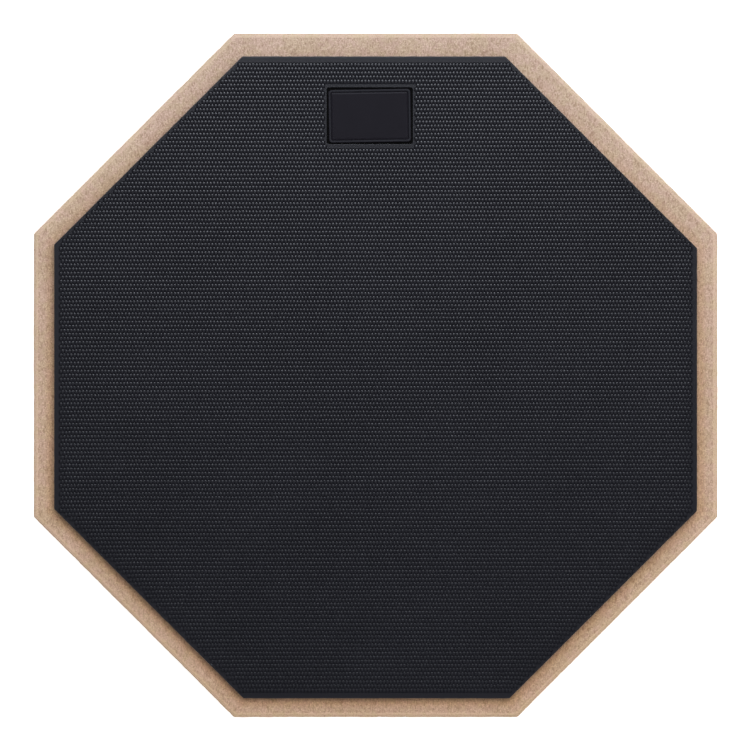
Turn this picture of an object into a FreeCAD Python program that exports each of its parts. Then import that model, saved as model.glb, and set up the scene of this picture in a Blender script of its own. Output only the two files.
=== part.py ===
import FreeCAD, Part
import math
import os

# Octagonal drum practice pad: a rubber playing pad and a foam base pad, glued to a fibreboard core.
# Millimetres, +Z up, origin on the floor under the middle of the board, +Y towards the badge.

# Driving dimensions
inch = 25.4
sides = 8
overall_flats = 12 * inch  # board, flat to flat
overall_height = 1 * inch

board_thickness = 15.0
board_arris_radius = 2.0  # routed round-over, on both faces
board_corner_radius = 2.5

film_thickness = 0.2  # every glue film
film_inset = 0.6  # a film stops this far short of the sheet that it holds

pad_flats = 11.25 * inch
pad_shift_y = -1.1  # the playing pad is glued a little low on the board
# its cut is a little uneven: these sides, numbered anticlockwise from the one facing +X, are further in
pad_trims = {1: 1.1, 5: 0.6, 6: 0.4}
pad_edge_radius = 0.4
pad_corner_radius = 2.5

base_edge_radius = 0.4
base_corner_radius = 1.0

badge_x = -2.6
badge_y = 115.3
pocket_width = 38.2
pocket_height = 25.2  # along Y
pocket_depth = 2.3
pocket_corner_radius = 1.0
pocket_lip_radius = 0.2
badge_gap = 0.8  # between the badge and the wall of its pocket, all round
badge_turn = 0.9  # degrees; the badge is glued a little askew in its pocket
badge_thickness = 1.8
badge_corner_radius = 1.5
badge_rim_width = 1.2
badge_rim_height = 0.5
badge_rim_radius = 0.4

# Heights of the layers, from the floor up
sheet_thickness = (overall_height - board_thickness) / 2 - film_thickness  # foam and rubber alike
board_z = sheet_thickness + film_thickness
board_top_z = board_z + board_thickness
pad_z = board_top_z + film_thickness
playing_z = pad_z + sheet_thickness
pocket_z = playing_z - pocket_depth
badge_z = pocket_z + film_thickness
badge_top_z = badge_z + badge_thickness

tolerance = 1e-6


def rounded(solid, radius, edges):
    """The solid with these edges rounded, as one plain solid."""
    return solid.makeFillet(radius, edges).Solids[0]


def edges_at(solid, z):
    """The edges that lie wholly at height z."""
    return [e for e in solid.Edges if all(abs(v.Z - z) < tolerance for v in e.Vertexes)]


def prism(points, height, corner_radius):
    """An upright prism on these points, with its upright edges rounded."""
    outline = Part.makePolygon(points + points[:1])
    solid = Part.Face(outline).extrude(FreeCAD.Vector(0, 0, height))
    upright = [e for e in solid.Edges if abs(e.BoundBox.ZLength - e.Length) < tolerance]
    return rounded(solid, corner_radius, upright)


def octagon(flats, z, height, corner_radius, shift_y=0.0, trims=None):
    """An octagonal plate, regular but for its trimmed sides, with flats across X and across Y."""
    turn = 2 * math.pi / sides
    reaches = [flats / 2 - (trims or {}).get(k, 0) for k in range(sides)]
    points = []
    for k in range(sides):
        # the corner where side k meets the next one
        reach = reaches[k]
        along = (reaches[(k + 1) % sides] - reach * math.cos(turn)) / math.sin(turn)
        x = reach * math.cos(k * turn) - along * math.sin(k * turn)
        y = reach * math.sin(k * turn) + along * math.cos(k * turn)
        points.append(FreeCAD.Vector(x, y + shift_y, z))
    return prism(points, height, corner_radius)


def block(inset, z, height, corner_radius):
    """A rectangular plate, smaller all round than the badge's pocket by the inset."""
    half_width = pocket_width / 2 - inset
    half_height = pocket_height / 2 - inset
    corners = [(-1, -1), (1, -1), (1, 1), (-1, 1)]
    points = [
        FreeCAD.Vector(badge_x + x * half_width, badge_y + y * half_height, z) for x, y in corners
    ]
    return prism(points, height, corner_radius)


def askew(solid):
    """The solid turned with the badge about the badge's centre."""
    return solid.rotated(FreeCAD.Vector(badge_x, badge_y, 0), FreeCAD.Vector(0, 0, 1), badge_turn)


def make_board():
    """Fibreboard core, with the edges of both faces rounded over."""
    plate = octagon(overall_flats, board_z, board_thickness, board_corner_radius)
    arrises = edges_at(plate, board_z) + edges_at(plate, board_top_z)
    return rounded(plate, board_arris_radius, arrises)


def make_playing_pad():
    """Moulded rubber sheet with a rounded top edge and a blind pocket for the badge."""
    sheet = octagon(pad_flats, pad_z, sheet_thickness, pad_corner_radius, pad_shift_y, pad_trims)
    sheet = rounded(sheet, pad_edge_radius, edges_at(sheet, playing_z))
    pocket = block(0, pocket_z, pocket_depth, pocket_corner_radius)
    sheet = sheet.cut(pocket)
    mouth = [e for e in edges_at(sheet, playing_z) if pocket.distToShape(e)[0] < tolerance]
    return rounded(sheet, pocket_lip_radius, mouth)


def make_badge():
    """Moulded plate with a raised, rounded rim round a plain sunk field."""
    plate = block(badge_gap, badge_z, badge_thickness, badge_corner_radius)
    field = block(
        badge_gap + badge_rim_width,
        badge_top_z - badge_rim_height,
        badge_rim_height,
        badge_corner_radius - badge_rim_width / 2,
    )
    plate = plate.cut(field)
    return askew(rounded(plate, badge_rim_radius, edges_at(plate, badge_top_z)))


def make_badge_film():
    """Glue film between the badge and the floor of its pocket."""
    return askew(block(badge_gap + film_inset, pocket_z, film_thickness, badge_corner_radius))


def make_base_pad():
    """Foam sheet on the underside, the face that the pad stands on."""
    sheet = octagon(pad_flats, 0, sheet_thickness, base_corner_radius)
    return rounded(sheet, base_edge_radius, edges_at(sheet, 0))


def make_sheet_film(z, shift_y=0.0, trims=None):
    """Glue film between the board and one of the octagonal sheets."""
    flats = pad_flats - 2 * film_inset
    return octagon(flats, z, film_thickness, base_corner_radius, shift_y, trims)


pieces = {
    "board": make_board(),
    "playing_pad": make_playing_pad(),
    "playing_pad_adhesive": make_sheet_film(board_top_z, pad_shift_y, pad_trims),
    "badge": make_badge(),
    "badge_adhesive": make_badge_film(),
    "base_pad": make_base_pad(),
    "base_pad_adhesive": make_sheet_film(sheet_thickness),
}

os.makedirs("parts", exist_ok=True)
for name, solid in pieces.items():
    solid.exportStep(f"parts/{name}.step")
    low = solid.BoundBox.ZMin
    high = solid.BoundBox.ZMax
    print(f"{name}: {solid.ShapeType}, {solid.Volume / 1000:.2f} cm3, z {low:.2f} to {high:.2f}")
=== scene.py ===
import math
import bpy
import bmesh
import numpy as np
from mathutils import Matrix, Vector, geometry, noise


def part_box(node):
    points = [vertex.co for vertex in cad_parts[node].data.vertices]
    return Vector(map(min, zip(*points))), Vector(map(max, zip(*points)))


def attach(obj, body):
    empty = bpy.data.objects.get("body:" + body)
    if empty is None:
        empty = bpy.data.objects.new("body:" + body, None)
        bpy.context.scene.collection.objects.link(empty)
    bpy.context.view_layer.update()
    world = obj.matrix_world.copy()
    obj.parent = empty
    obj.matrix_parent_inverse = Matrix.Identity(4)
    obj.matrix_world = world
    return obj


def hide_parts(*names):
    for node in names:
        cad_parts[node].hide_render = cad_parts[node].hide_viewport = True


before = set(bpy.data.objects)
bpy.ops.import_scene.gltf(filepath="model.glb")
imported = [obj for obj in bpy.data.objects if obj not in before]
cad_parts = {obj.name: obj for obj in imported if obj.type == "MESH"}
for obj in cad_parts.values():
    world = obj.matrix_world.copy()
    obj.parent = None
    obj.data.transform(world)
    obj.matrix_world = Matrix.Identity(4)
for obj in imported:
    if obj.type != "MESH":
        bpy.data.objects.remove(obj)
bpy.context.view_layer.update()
print("frame loaded:", ", ".join(sorted(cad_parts)))

mm = 0.001
sides = 8
turn = 2 * math.pi / sides
padTrims = {1: 1.1 * mm, 5: 0.6 * mm, 6: 0.4 * mm}  # rubber's sides cut further in, counted from +X
leastRadius = 0.05 * mm  # a ring's corners get no sharper than this
tiny = 0.01 * mm  # anything closer than this is at the same place
rng = np.random.default_rng(12)


def heading(angle):
    # unit vector at this angle from +X
    return Vector((math.cos(angle), math.sin(angle)))


def roundedRing(hubs, radius, sidePoints, cornerPoints):
    # anticlockwise arcs about the hubs, the first of them starting towards +X, joined by straight sides
    step = 2 * math.pi / len(hubs)
    ring = []
    for k in range(len(hubs)):
        ring += [hubs[k] + radius * heading((k + c / cornerPoints) * step) for c in range(cornerPoints + 1)]
        start = ring[-1]
        end = hubs[(k + 1) % len(hubs)] + radius * heading((k + 1) * step)
        ring += [start.lerp(end, s / sidePoints) for s in range(1, sidePoints)]
    return ring


def octagonRing(flats, radius, centre, sidePoints, cornerPoints, trims=None):
    # rounded octagon, anticlockwise, flats facing X and Y; a trimmed side is further in
    radius = max(radius, leastRadius)
    reaches = [flats / 2 - radius - (trims or {}).get(k, 0) for k in range(sides)]
    hubs = []
    for k in range(sides):
        # the corner where side k meets the next one
        along = (reaches[(k + 1) % sides] - reaches[k] * math.cos(turn)) / math.sin(turn)
        facing = heading(k * turn)
        hubs.append(reaches[k] * facing + along * Vector((-facing.y, facing.x)))
    return [p + centre for p in roundedRing(hubs, radius, sidePoints, cornerPoints)]


def roomInside(p, flats, centre, trims=None):
    # how far a point is inside each side of an octagon, side 0 facing +X
    room = []
    for k in range(sides):
        room.append(flats / 2 - (trims or {}).get(k, 0) - (p - centre).dot(heading(k * turn)))
    return room


def blockRing(width, height, radius, centre, askew, sidePoints, cornerPoints):
    # rounded rectangle, anticlockwise, turned about its centre
    radius = max(radius, leastRadius)
    signs = [(1, 1), (-1, 1), (-1, -1), (1, -1)]
    hubs = [Vector((x * (width / 2 - radius), y * (height / 2 - radius))) for x, y in signs]
    ring = roundedRing(hubs, radius, sidePoints, cornerPoints)
    c, s = math.cos(math.radians(askew)), math.sin(math.radians(askew))
    return [Vector((c * p.x - s * p.y, s * p.x + c * p.y)) + centre for p in ring]


def arc(insetStart, zStart, insetEnd, zEnd, steps, bulgeOut=True):
    # quarter round between two points of a profile, without the first of them
    points = []
    for i in range(1, steps + 1):
        a = i / steps * math.pi / 2
        if bulgeOut:
            along, up = 1 - math.cos(a), math.sin(a)
        else:
            along, up = math.sin(a), 1 - math.cos(a)
        points.append((insetStart + (insetEnd - insetStart) * along, zStart + (zEnd - zStart) * up))
    return points


def skin(bm, rings, capFirst=False, capLast=False):
    # joins rings that have the same number of points with quads
    count = len(rings[0])
    for low, high in zip(rings, rings[1:]):
        for i in range(count):
            j = (i + 1) % count
            bm.faces.new((low[i], low[j], high[j], high[i]))
    if capFirst:
        bm.faces.new(list(reversed(rings[0])))
    if capLast:
        bm.faces.new(rings[-1])


def addRing(bm, ring, z):
    return [bm.verts.new((p.x, p.y, z)) for p in ring]


def finishMesh(name, bm, smoothAngle, creases=()):
    # faces marked with material 1 stay flat, and so do edges sharper than the angle
    bmesh.ops.recalc_face_normals(bm, faces=bm.faces[:])
    for f in bm.faces:
        f.smooth = f.material_index == 0
        f.material_index = 0
    limit = math.radians(smoothAngle)
    for e in bm.edges:
        e.smooth = len(e.link_faces) == 2 and e.calc_face_angle(0) < limit
    for e in creases:
        e.smooth = False
    mesh = bpy.data.meshes.new(name)
    bm.to_mesh(mesh)
    bm.free()
    piece = bpy.data.objects.new(name, mesh)
    bpy.context.scene.collection.objects.link(piece)
    return piece


def place(piece, material, nodeName):
    piece.data.materials.clear()
    piece.data.materials.append(material)
    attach(piece, "root")
    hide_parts(nodeName)
    print(f"{piece.name}: {len(piece.data.polygons)} faces")
    return piece


def node(tree, kind, **values):
    # a value goes to the node's own setting of that name, or else to its socket
    made = tree.nodes.new(kind)
    for key, value in values.items():
        if hasattr(made, key):
            setattr(made, key, value)
        else:
            made.inputs[key].default_value = value
    return made


def mathNode(tree, operation, a, b):
    made = tree.nodes.new("ShaderNodeMath")
    made.operation = operation
    for i, value in enumerate((a, b)):
        if isinstance(value, (int, float)):
            made.inputs[i].default_value = value
        else:
            tree.links.new(value, made.inputs[i])
    return made.outputs[0]


def mixColour(tree, factor, a, b, blend="MIX"):
    made = tree.nodes.new("ShaderNodeMix")
    made.data_type = "RGBA"
    made.blend_type = blend
    for socket, value in ((made.inputs[0], factor), (made.inputs[6], a), (made.inputs[7], b)):
        if isinstance(value, (int, float)):
            socket.default_value = value
        elif isinstance(value, tuple):
            socket.default_value = (*value, 1)
        else:
            tree.links.new(value, socket)
    return made.outputs[2]


def mapRange(tree, value, low, high, toLow=0.0, toHigh=1.0, smooth=True):
    made = tree.nodes.new("ShaderNodeMapRange")
    made.interpolation_type = "SMOOTHSTEP" if smooth else "LINEAR"
    tree.links.new(value, made.inputs["Value"])
    made.inputs["From Min"].default_value = low
    made.inputs["From Max"].default_value = high
    made.inputs["To Min"].default_value = toLow
    made.inputs["To Max"].default_value = toHigh
    return made.outputs[0]


def noiseNode(tree, coords, scale, detail=2.0, rough=0.5, distortion=0.0):
    made = tree.nodes.new("ShaderNodeTexNoise")
    made.inputs["Scale"].default_value = scale
    made.inputs["Detail"].default_value = detail
    made.inputs["Roughness"].default_value = rough
    made.inputs["Distortion"].default_value = distortion
    tree.links.new(coords, made.inputs["Vector"])
    return made.outputs["Fac"]


def newGroup(name, inputs, outputs):
    group = bpy.data.node_groups.new(name, "ShaderNodeTree")
    for label, kind, value in inputs:
        socket = group.interface.new_socket(label, in_out="INPUT", socket_type=kind)
        socket.default_value = value
    for label, kind in outputs:
        group.interface.new_socket(label, in_out="OUTPUT", socket_type=kind)
    return group, group.nodes.new("NodeGroupInput"), group.nodes.new("NodeGroupOutput")


def useGroup(tree, group, values):
    made = tree.nodes.new("ShaderNodeGroup")
    made.node_tree = group
    for key, value in values.items():
        made.inputs[key].default_value = value
    return made


def newMaterial(name):
    material = bpy.data.materials.new(name)
    material.use_nodes = True
    tree = material.node_tree
    shader = next(n for n in tree.nodes if n.type == "BSDF_PRINCIPLED")
    return material, tree, shader


def addBump(tree, shader, layers):
    # layers of height socket and (strength, distance in metres), chained into the shader's normal
    normal = None
    for height, (strength, distance) in layers:
        bump = tree.nodes.new("ShaderNodeBump")
        bump.inputs["Strength"].default_value = strength
        bump.inputs["Distance"].default_value = distance
        tree.links.new(height, bump.inputs["Height"])
        if normal is not None:
            tree.links.new(normal, bump.inputs["Normal"])
        normal = bump.outputs["Normal"]
    tree.links.new(normal, shader.inputs["Normal"])


def makeMouldGrain():
    # the fine matt grain that a spark-eroded mould leaves, with a soft blotchy sheen
    group, start, end = newGroup(
        "mouldGrain",
        [("Grain Scale", "NodeSocketFloat", 4000.0), ("Blotch Scale", "NodeSocketFloat", 30.0)],
        [("Grain", "NodeSocketFloat"), ("Blotch", "NodeSocketFloat")],
    )
    coords = node(group, "ShaderNodeTexCoord").outputs["Object"]
    grain = node(group, "ShaderNodeTexNoise", Detail=3.0, Roughness=0.6)
    blotch = node(group, "ShaderNodeTexNoise", Detail=4.0, Roughness=0.55)
    for made, label, out in ((grain, "Grain Scale", "Grain"), (blotch, "Blotch Scale", "Blotch")):
        group.links.new(coords, made.inputs["Vector"])
        group.links.new(start.outputs[label], made.inputs["Scale"])
        group.links.new(made.outputs["Fac"], end.inputs[out])
    return group


def makeDust():
    # a few pale specks of dust and lint, in one cell out of many
    rarity = 0.93
    group, start, end = newGroup(
        "dustSpecks",
        [("Scale", "NodeSocketFloat", 400.0), ("Size", "NodeSocketFloat", 0.1)],
        [("Mask", "NodeSocketFloat")],
    )
    coords = node(group, "ShaderNodeTexCoord").outputs["Object"]
    cells = node(group, "ShaderNodeTexVoronoi")
    group.links.new(coords, cells.inputs["Vector"])
    group.links.new(start.outputs["Scale"], cells.inputs["Scale"])
    spot = mathNode(group, "LESS_THAN", cells.outputs["Distance"], start.outputs["Size"])
    chosen = node(group, "ShaderNodeSeparateColor")
    group.links.new(cells.outputs["Color"], chosen.inputs["Color"])
    rare = mathNode(group, "GREATER_THAN", chosen.outputs[0], rarity)
    group.links.new(mathNode(group, "MULTIPLY", spot, rare), end.inputs["Mask"])
    return group


mouldGrain = makeMouldGrain()
dustSpecks = makeDust()


board = {
    "flats": 304.8 * mm,
    "cornerRadius": 1.4 * mm,
    "arris": 2.0 * mm,
    "step": 0.7 * mm,  # mesh spacing along the sides
    "cornerPoints": 4,
    "arrisSteps": 7,
    "wallSteps": 9,
    "waver": 0.11 * mm,  # how far the routed edge wanders
    "waves": ((0.7, 55, 0.0), (0.6, 260, 1.0), (0.9, 640, 0.4)),  # share, scale and change with height
    "waverReach": 6 * mm,  # the wandering dies out this far in
    "nick": 0.10 * mm,
    "nickScale": 620,
    "nickRarity": 0.25,  # the higher, the fewer nicks
    "face": (0.515, 0.362, 0.268),
    "faceDeep": (0.35, 0.225, 0.150),
    "facePale": (0.635, 0.475, 0.360),
    "cut": (0.625, 0.462, 0.340),
    "cutDeep": (0.51, 0.36, 0.25),
    "dull": (0.94, 0.93, 0.92),  # tint of the broad duller clouds
    "yellowish": (0.985, 1.006, 0.955),
    "pinkish": (1.015, 0.992, 1.03),
    "warmEnd": (1.01, 0.94, 0.86),  # tint at the front, low Y
    "coolEnd": (1.02, 1.055, 1.11),  # tint at the badge's end
    "paintedShade": (0.965, 0.875, 0.76),  # painted shade beside the sheets: a warm darkening
    "soakWidth": 5.4 * mm,
    "bark": (0.24, 0.14, 0.08),
    "barkShare": 0.1,  # of the cells that could hold a fleck of bark
    "barkStrength": 0.65,
    "speckSize": 0.55 * mm,
    "cloudScale": 38.0,
    "hueScale": 170.0,
    "barkScale": 310.0,
    "roughness": (0.72, 0.92),
    "specular": 0.35,
    "fibreBump": (0.35, 0.15 * mm),  # strength and distance
    "speckBump": (0.25, 0.08 * mm),
}


def makeFibreboardMaterial():
    material, tree, shader = newMaterial("rawFibreboard")
    coords = node(tree, "ShaderNodeTexCoord").outputs["Object"]
    cutMask = node(tree, "ShaderNodeAttribute", attribute_name="cutEdge").outputs["Fac"]
    paintedShadeMask = node(tree, "ShaderNodeAttribute", attribute_name="paintedShade").outputs["Fac"]

    # matted fibres lying every way, over a finer speckle
    fibres = None
    for lie in (0.5, 1.55, 2.6):
        tilt = node(tree, "ShaderNodeMapping")
        tilt.inputs["Rotation"].default_value = (0, 0, lie)
        tilt.inputs["Scale"].default_value = (1, 0.35, 1)
        tree.links.new(coords, tilt.inputs["Vector"])
        strand = noiseNode(tree, tilt.outputs[0], 1 / board["speckSize"], 3, 0.6, 0.3)
        fibres = strand if fibres is None else mathNode(tree, "ADD", fibres, strand)
    fibres = mathNode(tree, "DIVIDE", fibres, 3.0)
    speckle = noiseNode(tree, coords, 0.8 / board["speckSize"], 4, 0.65)
    cloud = noiseNode(tree, coords, board["cloudScale"], 4, 0.6)

    face = mixColour(tree, mapRange(tree, fibres, 0.53, 0.41), board["face"], board["faceDeep"])
    face = mixColour(tree, mapRange(tree, speckle, 0.50, 0.62), face, board["facePale"])
    cut = mixColour(tree, mapRange(tree, speckle, 0.52, 0.38), board["cut"], board["cutDeep"])
    border = mathNode(tree, "ADD", cutMask, mathNode(tree, "MULTIPLY", cloud, 0.3))
    colour = mixColour(tree, mapRange(tree, border, 0.55, 0.75), face, cut)

    # broad drift of tone across the sheet, and from end to end
    drift = mixColour(tree, mapRange(tree, cloud, 0.3, 0.7), board["dull"], (1.0, 1.0, 1.0))
    colour = mixColour(tree, 1.0, colour, drift, "MULTIPLY")
    pinkish = mapRange(tree, noiseNode(tree, coords, board["hueScale"], 3, 0.7), 0.4, 0.6)
    hue = mixColour(tree, pinkish, board["yellowish"], board["pinkish"])
    colour = mixColour(tree, 1.0, colour, hue, "MULTIPLY")
    split = node(tree, "ShaderNodeSeparateXYZ")
    tree.links.new(coords, split.inputs[0])
    half = board["flats"] / 2
    along = mapRange(tree, split.outputs["Y"], -half, half, smooth=False)
    tint = mixColour(tree, along, board["warmEnd"], board["coolEnd"])
    colour = mixColour(tree, 1.0, colour, tint, "MULTIPLY")
    # painted shade beside the glued sheets: the colour darker and warmer there
    shaded = mixColour(tree, 1.0, colour, board["paintedShade"], "MULTIPLY")
    colour = mixColour(tree, paintedShadeMask, colour, shaded)

    # rare brown flecks of bark
    cells = node(tree, "ShaderNodeTexVoronoi", Scale=board["barkScale"], Randomness=1.0)
    bend = noiseNode(tree, coords, 900.0, 2)
    tree.links.new(coords, cells.inputs["Vector"])
    near = mathNode(tree, "ADD", cells.outputs["Distance"], mathNode(tree, "MULTIPLY", bend, 0.25))
    fleck = mapRange(tree, near, 0.28, 0.2)
    chosen = node(tree, "ShaderNodeSeparateColor")
    tree.links.new(cells.outputs["Color"], chosen.inputs["Color"])
    rare = mathNode(tree, "GREATER_THAN", chosen.outputs[0], 1 - board["barkShare"])
    fleck = mathNode(tree, "MULTIPLY", mathNode(tree, "MULTIPLY", fleck, rare), board["barkStrength"])
    tree.links.new(mixColour(tree, fleck, colour, board["bark"]), shader.inputs["Base Color"])

    tree.links.new(mapRange(tree, speckle, 0.3, 0.7, *board["roughness"]), shader.inputs["Roughness"])
    shader.inputs["Specular IOR Level"].default_value = board["specular"]
    addBump(tree, shader, [(fibres, board["fibreBump"]), (speckle, board["speckBump"])])
    return material


def sheetOutline(name):
    # width across the flats and centre of a glued sheet, from its three sides that are never trimmed
    low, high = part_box(name)
    flats = high.x - low.x
    return flats, Vector((low.x + flats / 2, high.y - flats / 2))


def soak(p, flats, centre, trims):
    # share of painted shade: 1 beside the glued sheet, falling to 0 away from it, and weaker towards the
    # badge's end, where the lamps stand
    away = -min(roomInside(p.to_2d(), flats, centre, trims))
    shaded = min(1.0, max(0.0, 1.5 * (1 - away / board["soakWidth"])))  # full over the first third
    # the painted shade fades towards +Y, the lit end
    towardsLight = 0.8 * min(1.0, max(0.0, p.y / (flats / 2)))
    return shaded * shaded * (3 - 2 * shaded) * (1 - towardsLight)


def makeBoard():
    low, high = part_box("board")
    centre = Vector((0, 0))
    sidePoints = round(board["flats"] * math.tan(math.pi / sides) / board["step"])
    arris = board["arris"]

    # from the hidden middle of the underside, out round the edge, to the hidden middle of the top
    flatInsets = [22, 14, 11, 10, 9.2, 8.4, 7.6, 6.8, 6.0, 5.2, 4.4, 3.6, 2.8, 2.2]
    profile = [(i * mm, low.z) for i in flatInsets]
    profile.append((arris, low.z))
    profile += arc(arris, low.z, 0, low.z + arris, board["arrisSteps"], bulgeOut=False)
    for i in range(1, board["wallSteps"]):
        profile.append((0, low.z + arris + (high.z - low.z - 2 * arris) * i / board["wallSteps"]))
    profile.append((0, high.z - arris))
    profile += arc(0, high.z - arris, arris, high.z, board["arrisSteps"])
    profile += [(i * mm, high.z) for i in reversed(flatInsets)]

    bm = bmesh.new()
    cutLayer = bm.verts.layers.float.new("cutEdge")
    paintedShadeLayer = bm.verts.layers.float.new("paintedShade")
    sheets = [
        (high.z, *sheetOutline("playing_pad"), padTrims),
        (low.z, *sheetOutline("base_pad"), None),
    ]
    rings = []
    for inset, z in profile:
        radius = board["cornerRadius"] - inset
        ring = octagonRing(board["flats"] - 2 * inset, radius, centre, sidePoints, board["cornerPoints"])
        rings.append(addRing(bm, ring, z))
    skin(bm, rings, capFirst=True, capLast=True)

    for (inset, z), ring in zip(profile, rings):
        reachIn = max(0.0, 1 - inset / board["waverReach"])
        onCut = 1.0 if inset <= arris + tiny else 0.0
        for v in ring:
            p = v.co.copy()
            outward = Vector((p.x, p.y, 0)).normalized()
            wave = 0.0
            for share, scale, change in board["waves"]:
                wave += share * noise.noise(Vector((p.x, p.y, p.z * change)) * scale)
            chip = noise.noise(p * board["nickScale"] + Vector((3, 5, 7)))
            chip = max(0.0, chip - board["nickRarity"])
            push = board["waver"] * wave - board["nick"] * chip * 2
            v.co += outward * push * reachIn
            if onCut and 0 < inset:
                v.co.z -= math.copysign(1, z - (low.z + high.z) / 2) * board["nick"] * chip
            v[cutLayer] = onCut
            # painted shade on the faces beside each glued sheet
            for faceZ, flats, middle, trims in sheets:
                if abs(z - faceZ) < tiny:
                    v[paintedShadeLayer] = soak(p, flats, middle, trims)
    return finishMesh("board_core", bm, 60)


place(makeBoard(), makeFibreboardMaterial(), "board")


pad = {
    "cornerRadius": 1.2 * mm,
    "edgeRadius": 0.4 * mm,
    "draft": 0.05 * mm,  # the side wall leans in by this much on its way up
    "bend": (0.02 * mm, 1.2 * mm),  # where a wall's slope changes: its lean and its distance from the end
    "footRadius": 0.15 * mm,
    "footInset": 0.08 * mm,
    "brims": (1.3 * mm, 0.25 * mm),  # least flat between pips and rounded edge: square, slanting sides
    "pitchX": 1.511 * mm,
    "pitchY": 1.815 * mm,
    "relief": 0.40 * mm,  # how deep the grooves between the pips are
    "reliefChange": 0.15,  # as a share of the relief
    "reliefScale": 300,
    "crown": 0.25 * mm,  # the pips' middles stand this much above their shoulders
    "shoulder": (0.61, 0.75),  # the pip's top, as a share of its cell, across and along
    "fadeWidth": 6.0 * mm,  # the crowns are flatter this near the edge
    "fadeTo": 0.5,
    "jitter": 0.018 * mm,
    "unevenness": 0.008 * mm,
    "waver": 0.14 * mm,  # how far the cut edge wanders
    "waverScale": 330,
    "pocketWidth": 38.2 * mm,
    "pocketHeight": 25.2 * mm,
    "pocketDepth": 2.3 * mm,
    "pocketRadius": 1.0 * mm,
    "pocketLip": 0.12 * mm,
    "pocketBrim": 0.38 * mm,  # flat between the pips and the pocket's lip
    "sidePoints": 90,
    "cornerPoints": 5,
    "edgeSteps": 7,
    "pocketPoints": (14, 5),  # along each side and round each corner
    "lipSteps": 3,
    "colour": (0.0126, 0.0126, 0.0166),
    "mottle": 0.05,
    "roughness": 0.31,
    "roughChange": 0.006,
    "specular": 0.5,
    "grain": {"Grain Scale": 3600.0, "Blotch Scale": 26.0},
    "grainBump": (0.25, 0.03 * mm),  # strength and distance
    "dust": {"Scale": 260.0, "Size": 0.05},
    "dustColour": (0.22, 0.22, 0.23),
    "dustStrength": 0.15,
    "pocketShadeColour": (0.002, 0.002, 0.0025),  # the pocket walls are painted near-black: painted shade in the deep gap round the badge
    "pocketPolish": 0.18,  # and the pocket walls are less rough by this much
}

padFlats, padCentre = sheetOutline("playing_pad")
badgeLow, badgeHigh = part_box("badge")
pocketCentre = Vector(((badgeLow.x + badgeHigh.x) / 2, (badgeLow.y + badgeHigh.y) / 2))


def mottled(tree, blotch, colour, change):
    # the colour, darker and lighter by this share from blotch to blotch
    dim = tuple(c * (1 - change) for c in colour)
    lit = tuple(c * (1 + change) for c in colour)
    return mixColour(tree, mapRange(tree, blotch, 0.3, 0.7), dim, lit)


def makeRubberMaterial():
    material, tree, shader = newMaterial("mouldedRubber")
    grain = useGroup(tree, mouldGrain, pad["grain"])
    dust = useGroup(tree, dustSpecks, pad["dust"])
    inPocket = node(tree, "ShaderNodeAttribute", attribute_name="inPocket").outputs["Fac"]
    colour = mottled(tree, grain.outputs["Blotch"], pad["colour"], pad["mottle"])
    faint = mathNode(tree, "MULTIPLY", dust.outputs["Mask"], pad["dustStrength"])
    colour = mixColour(tree, faint, colour, pad["dustColour"])
    # painted shade: the pocket walls near-black
    colour = mixColour(tree, inPocket, colour, pad["pocketShadeColour"])
    tree.links.new(colour, shader.inputs["Base Color"])
    low, high = pad["roughness"] - pad["roughChange"], pad["roughness"] + pad["roughChange"]
    rough = mapRange(tree, grain.outputs["Blotch"], 0.3, 0.7, low, high)
    polish = mathNode(tree, "MULTIPLY", inPocket, pad["pocketPolish"])
    tree.links.new(mathNode(tree, "SUBTRACT", rough, polish), shader.inputs["Roughness"])
    shader.inputs["Specular IOR Level"].default_value = pad["specular"]
    addBump(tree, shader, [(grain.outputs["Grain"], pad["grainBump"])])
    return material


def padRing(inset):
    flats, radius = padFlats - 2 * inset, pad["cornerRadius"] - inset
    return octagonRing(flats, radius, padCentre, pad["sidePoints"], pad["cornerPoints"], padTrims)


def pocketRing(inset):
    width, height = pad["pocketWidth"] - 2 * inset, pad["pocketHeight"] - 2 * inset
    return blockRing(width, height, pad["pocketRadius"] - inset, pocketCentre, 0, *pad["pocketPoints"])


def padRoom(p):
    return roomInside(p, padFlats, padCentre, padTrims)


def onFlat(p):
    # well inside the flat of the playing face, clear of the badge's pocket
    brim = pad["pocketLip"] + pad["pocketBrim"]
    halfX, halfY = pad["pocketWidth"] / 2 + brim, pad["pocketHeight"] / 2 + brim
    if abs(p.x - pocketCentre.x) < halfX and abs(p.y - pocketCentre.y) < halfY:
        return False
    return all(room > pad["edgeRadius"] + pad["brims"][k % 2] for k, room in enumerate(padRoom(p)))


def crownShare(p):
    # share of the full crown that a pip here has
    near = min(1.0, max(0.0, min(padRoom(p)) - pad["edgeRadius"]) / pad["fadeWidth"])
    return pad["fadeTo"] + (1 - pad["fadeTo"]) * near


def pipCell():
    # six corners of the cell round a pip, anticlockwise from the top
    px, py = pad["pitchX"], pad["pitchY"]
    tip = (py * py + px * px / 4) / (2 * py)
    hip = py - tip
    spots = [(0, tip), (-px / 2, hip), (-px / 2, -hip), (0, -tip), (px / 2, -hip), (px / 2, hip)]
    return [Vector(c) for c in spots]


def cornerKey(p):
    # the same for every cell that has this corner
    return round((p.x - padCentre.x) / pad["pitchX"] * 2), round((p.y - padCentre.y) / pad["pitchY"] * 12)


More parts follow.
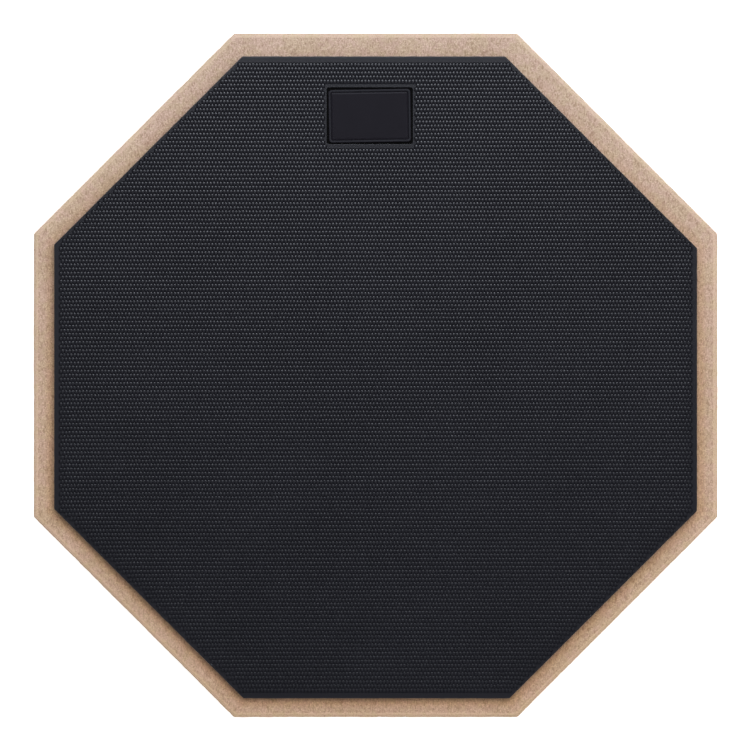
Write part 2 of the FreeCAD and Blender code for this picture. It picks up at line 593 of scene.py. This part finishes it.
def layPips(bm, level):
    # lays staggered pips over the whole flat, and returns the creases round their tops as pairs of points
    corners = pipCell()
    px, py = pad["pitchX"], pad["pitchY"]
    shareX, shareY = pad["shoulder"]
    middles = {}
    reach = int(padFlats / 2 / px) + 2
    for row in range(-reach, reach):
        for column in range(-reach, reach + 1):
            middle = padCentre + Vector(((column + 0.5 * (row % 2)) * px, (row + 0.5) * py))
            if min(padRoom(middle)) > 0:
                middles[column, row] = middle

    # a whole pip needs room at all six corners, and each of them sinks into the groove
    whole = {key for key, middle in middles.items() if all(onFlat(middle + c) for c in corners)}
    sunk = {}
    for key in whole:
        for c in corners:
            p = middles[key] + c
            if cornerKey(p) not in sunk:
                change = pad["reliefChange"] * noise.noise(p.to_3d() * pad["reliefScale"])
                sunk[cornerKey(p)] = bm.verts.new((p.x, p.y, level - pad["relief"] * (1 + change)))

    creases = []
    ends = {}
    for key, middle in middles.items():
        bottoms = [sunk.get(cornerKey(middle + c)) for c in corners]
        if not any(bottoms):
            continue
        shift = Vector(rng.normal(0, pad["jitter"], 2)) if key in whole else Vector((0, 0))
        lift = rng.normal(0, pad["unevenness"]) if key in whole else 0.0
        shoulder = []
        for c, bottom in zip(corners, bottoms):
            p = middle + Vector((c.x * shareX, c.y * shareY)) + shift
            shoulder.append(bm.verts.new((p.x, p.y, level + lift)) if bottom else None)
        for i in range(6):
            j = (i + 1) % 6
            if bottoms[i] and bottoms[j]:
                bm.faces.new((bottoms[i], bottoms[j], shoulder[j], shoulder[i]))
                creases.append((shoulder[i], shoulder[j]))
            elif bottoms[i] or bottoms[j]:
                # the groove ends here: the same end belongs to the cell across it
                k = i if bottoms[i] else j
                line = tuple(sorted((cornerKey(middle + corners[i]), cornerKey(middle + corners[j]))))
                ends.setdefault(line, []).append((bottoms[k], shoulder[k]))
        if key in whole:
            top = middle + shift
            peak = bm.verts.new((top.x, top.y, level + pad["crown"] * crownShare(middle) + lift))
            for i in range(6):
                bm.faces.new((shoulder[i], shoulder[(i + 1) % 6], peak))
    for pair in ends.values():
        if len(pair) == 2:
            (bottom, first), (_, second) = pair
            bm.faces.new((bottom, first, second))
            creases.append((first, second))
    print(f"pips: {len(whole)}")
    return creases


def fillBorder(bm, outer, inner):
    # smooth border: flat triangles between the pips, the outline and the pocket
    openEdges = [e for e in bm.edges if len(e.link_faces) == 1]
    pipVerts = list(dict.fromkeys(v for e in openEdges for v in e.verts))
    verts = pipVerts + outer + inner
    index = {v: i for i, v in enumerate(verts)}
    links = [(index[e.verts[0]], index[e.verts[1]]) for e in openEdges]
    for ring in (outer, inner):
        links += [(index[ring[i]], index[ring[(i + 1) % len(ring)]]) for i in range(len(ring))]
    spots = [v.co.to_2d() for v in verts]
    found, lines, triangles, origins, lineOrigins, _ = geometry.delaunay_2d_cdt(spots, links, [], 1, 1e-9)

    # start from triangles that join a pip to an outline, and spread as far as the fixed lines
    fixed = {frozenset(line) for line, origin in zip(lines, lineOrigins) if origin}
    neighbours = {}
    for t, tri in enumerate(triangles):
        for i in range(3):
            neighbours.setdefault(frozenset((tri[i], tri[(i + 1) % 3])), []).append(t)
    onPips = [origins[i][0] < len(pipVerts) for i in range(len(found))]
    waiting = [t for t, tri in enumerate(triangles) if len({onPips[i] for i in tri}) == 2]
    border = set(waiting)
    while waiting:
        tri = triangles[waiting.pop()]
        for i in range(3):
            side = frozenset((tri[i], tri[(i + 1) % 3]))
            if side in fixed:
                continue
            for t in neighbours[side]:
                if t not in border:
                    border.add(t)
                    waiting.append(t)
    for t in sorted(border):
        face = bm.faces.new([verts[origins[i][0]] for i in triangles[t]])
        face.material_index = 1


def addRim(bm, outer, level, floorZ):
    # rounded edge, side wall and underside
    radius, draft = pad["edgeRadius"], pad["draft"]
    profile = arc(radius, level, draft, level - radius + draft, pad["edgeSteps"], bulgeOut=False)
    lean, away = pad["bend"]
    profile.append((lean, floorZ + away))
    profile.append((0, floorZ + pad["footRadius"]))
    profile.append((pad["footInset"], floorZ))
    rings = [outer] + [addRing(bm, padRing(inset), z) for inset, z in profile]
    skin(bm, [list(reversed(r)) for r in rings], capLast=True)
    for ring, (inset, z) in zip(rings[1:], profile):
        below = min(1.0, (level - z) / radius)
        for v in ring:
            across = Vector((v.co.x, v.co.y, 0))
            wander = noise.noise(across * pad["waverScale"]) - 0.1  # a little more inwards than out
            v.co += across.normalized() * pad["waver"] * below * wander


def addPocket(bm, inner, level, top, inPocket):
    # lip, walls and floor
    lip = pad["pocketLip"]
    lean, away = pad["bend"]
    profile = arc(-lip, level, 0, level - lip, pad["lipSteps"], bulgeOut=False)
    profile += [(lean, top - away), (pad["draft"], top - pad["pocketDepth"])]
    rings = [inner] + [addRing(bm, pocketRing(inset), z) for inset, z in profile]
    skin(bm, rings, capLast=True)
    for ring in rings[pad["lipSteps"]:]:
        for v in ring:
            v[inPocket] = 1.0


def makePlayingPad():
    low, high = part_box("playing_pad")
    level = high.z - pad["crown"]  # of the flats, so that the pips' tops are the sheet's top
    bm = bmesh.new()
    inPocket = bm.verts.layers.float.new("inPocket")
    rims = layPips(bm, level)
    creases = [e for e in (bm.edges.get(pair) for pair in rims) if e]
    outer = addRing(bm, padRing(pad["edgeRadius"]), level)
    inner = addRing(bm, pocketRing(-pad["pocketLip"]), level)
    fillBorder(bm, outer, inner)
    addRim(bm, outer, level, low.z)
    addPocket(bm, inner, level, high.z, inPocket)
    return finishMesh("rubber_pad", bm, 75, creases)


padPiece = place(makePlayingPad(), makeRubberMaterial(), "playing_pad")


badge = {
    "width": 36.6 * mm,
    "height": 23.6 * mm,
    "turn": 0.9,  # degrees askew in its pocket
    "cornerRadius": 1.5 * mm,
    "cornerShare": 0.75,  # how much of each inset its corners' radius loses
    "edgeRadius": 0.35 * mm,
    "footRadius": 0.15 * mm,
    "beadWidth": 1.3 * mm,
    "crown": 0.02 * mm,
    "brow": 0.10 * mm,  # how far down the bead's steep inner face starts
    "sheenBand": (0.25, 0.75),  # band of painted sheen, as shares across the bead
    "fieldDrop": 0.55 * mm,
    "groove": 0.15 * mm,  # a shallow channel round the field, at the foot of the bead
    "sidePoints": 16,
    "cornerPoints": 6,
    "edgeSteps": 5,
    # the bead's band is painted lighter: painted sheen
    "beadSheenColour": (0.0190, 0.0190, 0.0240),
    "colour": (0.0113, 0.0103, 0.0143),
    "mottle": 0.07,
    "roughness": 0.34,
    "roughChange": 0.03,
    "sheenBandRough": 0.20,  # the bead's band is rougher by this much
    "specular": 0.07,
    "grain": {"Grain Scale": 5200.0, "Blotch Scale": 60.0},
    "grainBump": (0.1, 0.02 * mm),  # strength and distance
}


def makeBadgeMaterial():
    material, tree, shader = newMaterial("badgePlastic")
    grain = useGroup(tree, mouldGrain, badge["grain"])
    sheenBand = node(tree, "ShaderNodeAttribute", attribute_name="sheenBand").outputs["Fac"]
    colour = mottled(tree, grain.outputs["Blotch"], badge["colour"], badge["mottle"])
    # painted sheen: the bead's band in a lighter colour
    colour = mixColour(tree, sheenBand, colour, badge["beadSheenColour"])
    tree.links.new(colour, shader.inputs["Base Color"])
    low, high = badge["roughness"], badge["roughness"] + badge["roughChange"]
    rough = mapRange(tree, grain.outputs["Grain"], 0.3, 0.7, low, high)
    bandRoughening = mathNode(tree, "MULTIPLY", sheenBand, badge["sheenBandRough"])
    tree.links.new(mathNode(tree, "ADD", rough, bandRoughening), shader.inputs["Roughness"])
    shader.inputs["Specular IOR Level"].default_value = badge["specular"]
    addBump(tree, shader, [(grain.outputs["Grain"], badge["grainBump"])])
    return material


def makeBadge():
    low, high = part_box("badge")
    bead, drop, edge = badge["beadWidth"], badge["fieldDrop"], badge["edgeRadius"]
    channel = drop + badge["groove"]
    profile = [(badge["footRadius"], low.z), (0, low.z + badge["footRadius"]), (0, high.z - edge)]
    profile += arc(0, high.z - edge, bead * 0.3, high.z - badge["crown"], badge["edgeSteps"])
    # share of the bead's width and depth under its top, over the bead and down into the channel
    inward = [
        (0.45, 0), (0.70, badge["crown"]), (0.78, badge["brow"]),
        (0.88, channel), (1.00, channel), (1.10, drop),
    ]
    profile += [(bead * share, high.z - depth) for share, depth in inward]
    profile.append((bead + 0.8 * mm, high.z - drop))
    bm = bmesh.new()
    sheenBandLayer = bm.verts.layers.float.new("sheenBand")
    first, last = badge["sheenBand"]
    rings = []
    for inset, z in profile:
        ring = blockRing(
            badge["width"] - 2 * inset, badge["height"] - 2 * inset,
            badge["cornerRadius"] - inset * badge["cornerShare"],
            pocketCentre, badge["turn"], badge["sidePoints"], badge["cornerPoints"],
        )
        rings.append(addRing(bm, ring, z))
        for v in rings[-1]:
            # mark the bead's band, which gets the painted sheen
            v[sheenBandLayer] = 1.0 if first < inset / bead < last else 0.0
    skin(bm, rings, capFirst=True, capLast=True)
    return finishMesh("badge_plate", bm, 50)


place(makeBadge(), makeBadgeMaterial(), "badge")


base = {
    "cornerRadius": 0.8 * mm,
    "edgeRadius": 0.4 * mm,
    "step": 1.6 * mm,
    "cornerPoints": 3,
    "edgeSteps": 3,
    "wallSteps": 7,
    "suckedIn": 0.25 * mm,  # the die squeezes the sheet, so its cut side is hollow
    "waver": 0.10 * mm,  # how far the cut edge wanders
    "waverScale": 160,
    "shrink": 0.08 * mm,
    "colour": (0.028, 0.028, 0.030),
    "dim": 0.85,  # share of the colour in the duller blotches
    "poreColour": (0.055, 0.055, 0.058),
    "poreStrength": 0.3,
    "poreScale": 1800.0,
    "roughness": (0.82, 0.95),
    "specular": 0.3,
    "grain": {"Grain Scale": 1500.0, "Blotch Scale": 22.0},
    "poreBump": (0.6, 0.12 * mm),  # strength and distance
    "grainBump": (0.4, 0.08 * mm),
}


def makeFoamMaterial():
    material, tree, shader = newMaterial("closedCellFoam")
    coords = node(tree, "ShaderNodeTexCoord").outputs["Object"]
    grain = useGroup(tree, mouldGrain, base["grain"])
    cells = node(tree, "ShaderNodeTexVoronoi", Scale=base["poreScale"])
    tree.links.new(coords, cells.inputs["Vector"])
    pores = mapRange(tree, cells.outputs["Distance"], 0.05, 0.55)
    shade = mapRange(tree, grain.outputs["Blotch"], 0.3, 0.7)
    colour = mixColour(tree, shade, tuple(c * base["dim"] for c in base["colour"]), base["colour"])
    faint = mathNode(tree, "MULTIPLY", pores, base["poreStrength"])
    tree.links.new(mixColour(tree, faint, colour, base["poreColour"]), shader.inputs["Base Color"])
    rough = mapRange(tree, grain.outputs["Grain"], 0.3, 0.7, *base["roughness"])
    tree.links.new(rough, shader.inputs["Roughness"])
    shader.inputs["Specular IOR Level"].default_value = base["specular"]
    addBump(tree, shader, [(pores, base["poreBump"]), (grain.outputs["Grain"], base["grainBump"])])
    return material


def makeBasePad():
    low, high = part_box("base_pad")
    flats = high.x - low.x
    centre = Vector((0, 0))
    sidePoints = round(flats * math.tan(math.pi / sides) / base["step"])
    radius = base["edgeRadius"]
    tall = high.z - low.z
    flatInsets = [30, 12, 5, 2, 0.9]
    profile = [(i * mm, low.z) for i in flatInsets]
    profile.append((radius, low.z))
    profile += arc(radius, low.z, 0, low.z + radius, base["edgeSteps"], bulgeOut=False)
    for i in range(1, base["wallSteps"] + 1):
        share = i / base["wallSteps"]
        inset = base["suckedIn"] * math.sin(math.pi * share)
        profile.append((inset, low.z + radius + (tall - radius) * share))
    profile.append((10 * mm, high.z))
    bm = bmesh.new()
    rings = []
    for inset, z in profile:
        radius = base["cornerRadius"] - inset
        ring = octagonRing(flats - 2 * inset, radius, centre, sidePoints, base["cornerPoints"])
        rings.append(addRing(bm, ring, z))
    skin(bm, rings, capFirst=True, capLast=True)
    for ring, (inset, z) in zip(rings, profile):
        if inset < 1 * mm:
            for v in ring:
                outward = Vector((v.co.x, v.co.y, 0)).normalized()
                wave = noise.noise(v.co * base["waverScale"])
                v.co += outward * (base["waver"] * wave - base["shrink"])
    return finishMesh("foam_base", bm, 50)


basePiece = place(makeBasePad(), makeFoamMaterial(), "base_pad")


glue = {
    "thin": (0.46, 0.33, 0.16),
    "thick": (0.22, 0.12, 0.045),
    "brushScale": 90.0,
    "stringScale": 700.0,
    "roughness": (0.3, 0.6),
    "brushBump": (0.4, 0.1 * mm),  # strength and distance
    "stringBump": (0.3, 0.04 * mm),
}


def makeGlueMaterial():
    material, tree, shader = newMaterial("driedContactGlue")
    coords = node(tree, "ShaderNodeTexCoord").outputs["Object"]
    brushed = noiseNode(tree, coords, glue["brushScale"], 5, 0.6, 0.8)
    strings = noiseNode(tree, coords, glue["stringScale"], 3, 0.6)
    colour = mixColour(tree, mapRange(tree, brushed, 0.3, 0.7), glue["thin"], glue["thick"])
    tree.links.new(colour, shader.inputs["Base Color"])
    tree.links.new(mapRange(tree, strings, 0.3, 0.7, *glue["roughness"]), shader.inputs["Roughness"])
    addBump(tree, shader, [(brushed, glue["brushBump"]), (strings, glue["stringBump"])])
    return material


glueMaterial = makeGlueMaterial()
for film in ("playing_pad_adhesive", "badge_adhesive", "base_pad_adhesive"):
    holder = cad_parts[film]
    holder.data.materials.clear()
    holder.data.materials.append(glueMaterial)
print("glue films done")


studio = {
    "lens": 200.0,
    "sensor": 36.0,
    "viewWidth": 334.4 * mm,  # seen across the frame, at the board's top arris
    "cameraX": -0.27 * mm,
    "cameraY": 0.14 * mm,
    "floor": (0.9, 0.9, 0.9),
    "floorSize": 3.0,
    "floorDrop": 0.2 * mm,  # below the base, so that the two never share a plane
    "floorGlow": 0.75,  # lit from below, so that the backdrop stays clean
    # degrees round from +X, degrees down from overhead, metres away, metres wide and high, watts
    "lamps": {
        "gloss": (91, 37, 1.2, 0.70, 0.58, 9.8),
        "key": (87, 44, 1.3, 1.2, 0.6, 5.4),
        "top": (70, 15, 1.3, 0.8, 0.6, 10.6),
        "right": (0, 36, 1.3, 1.1, 0.6, 3.0),
        "left": (180, 56, 1.3, 1.1, 0.6, 1.1),
        "front": (270, 36, 1.3, 1.2, 0.6, 3.3),
    },
    "lampColour": (0.96, 0.98, 1.0),
    "glossColour": (0.86, 0.91, 1.0),
    "air": (1.0, 1.0, 1.0),
    "airStrength": 0.06,
}


def makeLamp(name, direction, zenith, distance, width, height, power):
    data = bpy.data.lights.new(name, "AREA")
    data.shape = "RECTANGLE"
    data.size, data.size_y = width, height
    data.energy = power
    data.color = studio["glossColour"] if name == "gloss" else studio["lampColour"]
    lamp = bpy.data.objects.new(name, data)
    bpy.context.scene.collection.objects.link(lamp)
    a, z = math.radians(direction), math.radians(zenith)
    out = Vector((math.cos(a) * math.sin(z), math.sin(a) * math.sin(z), math.cos(z)))
    lamp.location = out * distance
    lamp.rotation_euler = out.to_track_quat("Z", "Y").to_euler()
    # one lamp makes every highlight, the others only light
    lamp.visible_glossy = name == "gloss"
    lamp.visible_diffuse = name != "gloss"


def makeFloor():
    bm = bmesh.new()
    bmesh.ops.create_grid(bm, x_segments=1, y_segments=1, size=studio["floorSize"])
    mesh = bpy.data.meshes.new("floor")
    bm.to_mesh(mesh)
    bm.free()
    floor = bpy.data.objects.new("floor", mesh)
    bpy.context.scene.collection.objects.link(floor)
    floor.location.z = -studio["floorDrop"]
    material, tree, shader = newMaterial("paleFloor")
    shader.inputs["Base Color"].default_value = (*studio["floor"], 1)
    shader.inputs["Roughness"].default_value = 0.9
    shader.inputs["Specular IOR Level"].default_value = 0.2
    shader.inputs["Emission Color"].default_value = (1, 1, 1, 1)
    shader.inputs["Emission Strength"].default_value = studio["floorGlow"]
    mesh.materials.append(material)


def makeCamera():
    data = bpy.data.cameras.new("camera")
    data.lens = studio["lens"]
    data.sensor_width = studio["sensor"]
    data.clip_end = 20
    camera = bpy.data.objects.new("camera", data)
    bpy.context.scene.collection.objects.link(camera)
    distance = studio["viewWidth"] * studio["lens"] / studio["sensor"]
    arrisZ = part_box("board")[1].z - board["arris"]
    camera.location = (studio["cameraX"], studio["cameraY"], arrisZ + distance)
    bpy.context.scene.camera = camera


makeFloor()
for lampName, settings in studio["lamps"].items():
    makeLamp(lampName, *settings)
makeCamera()
world = bpy.data.worlds.new("studioAir")
world.use_nodes = True
air = world.node_tree.nodes["Background"]
air.inputs["Color"].default_value = (*studio["air"], 1)
air.inputs["Strength"].default_value = studio["airStrength"]
bpy.context.scene.world = world
bpy.context.scene.view_settings.view_transform = "Standard"
print("studio done")
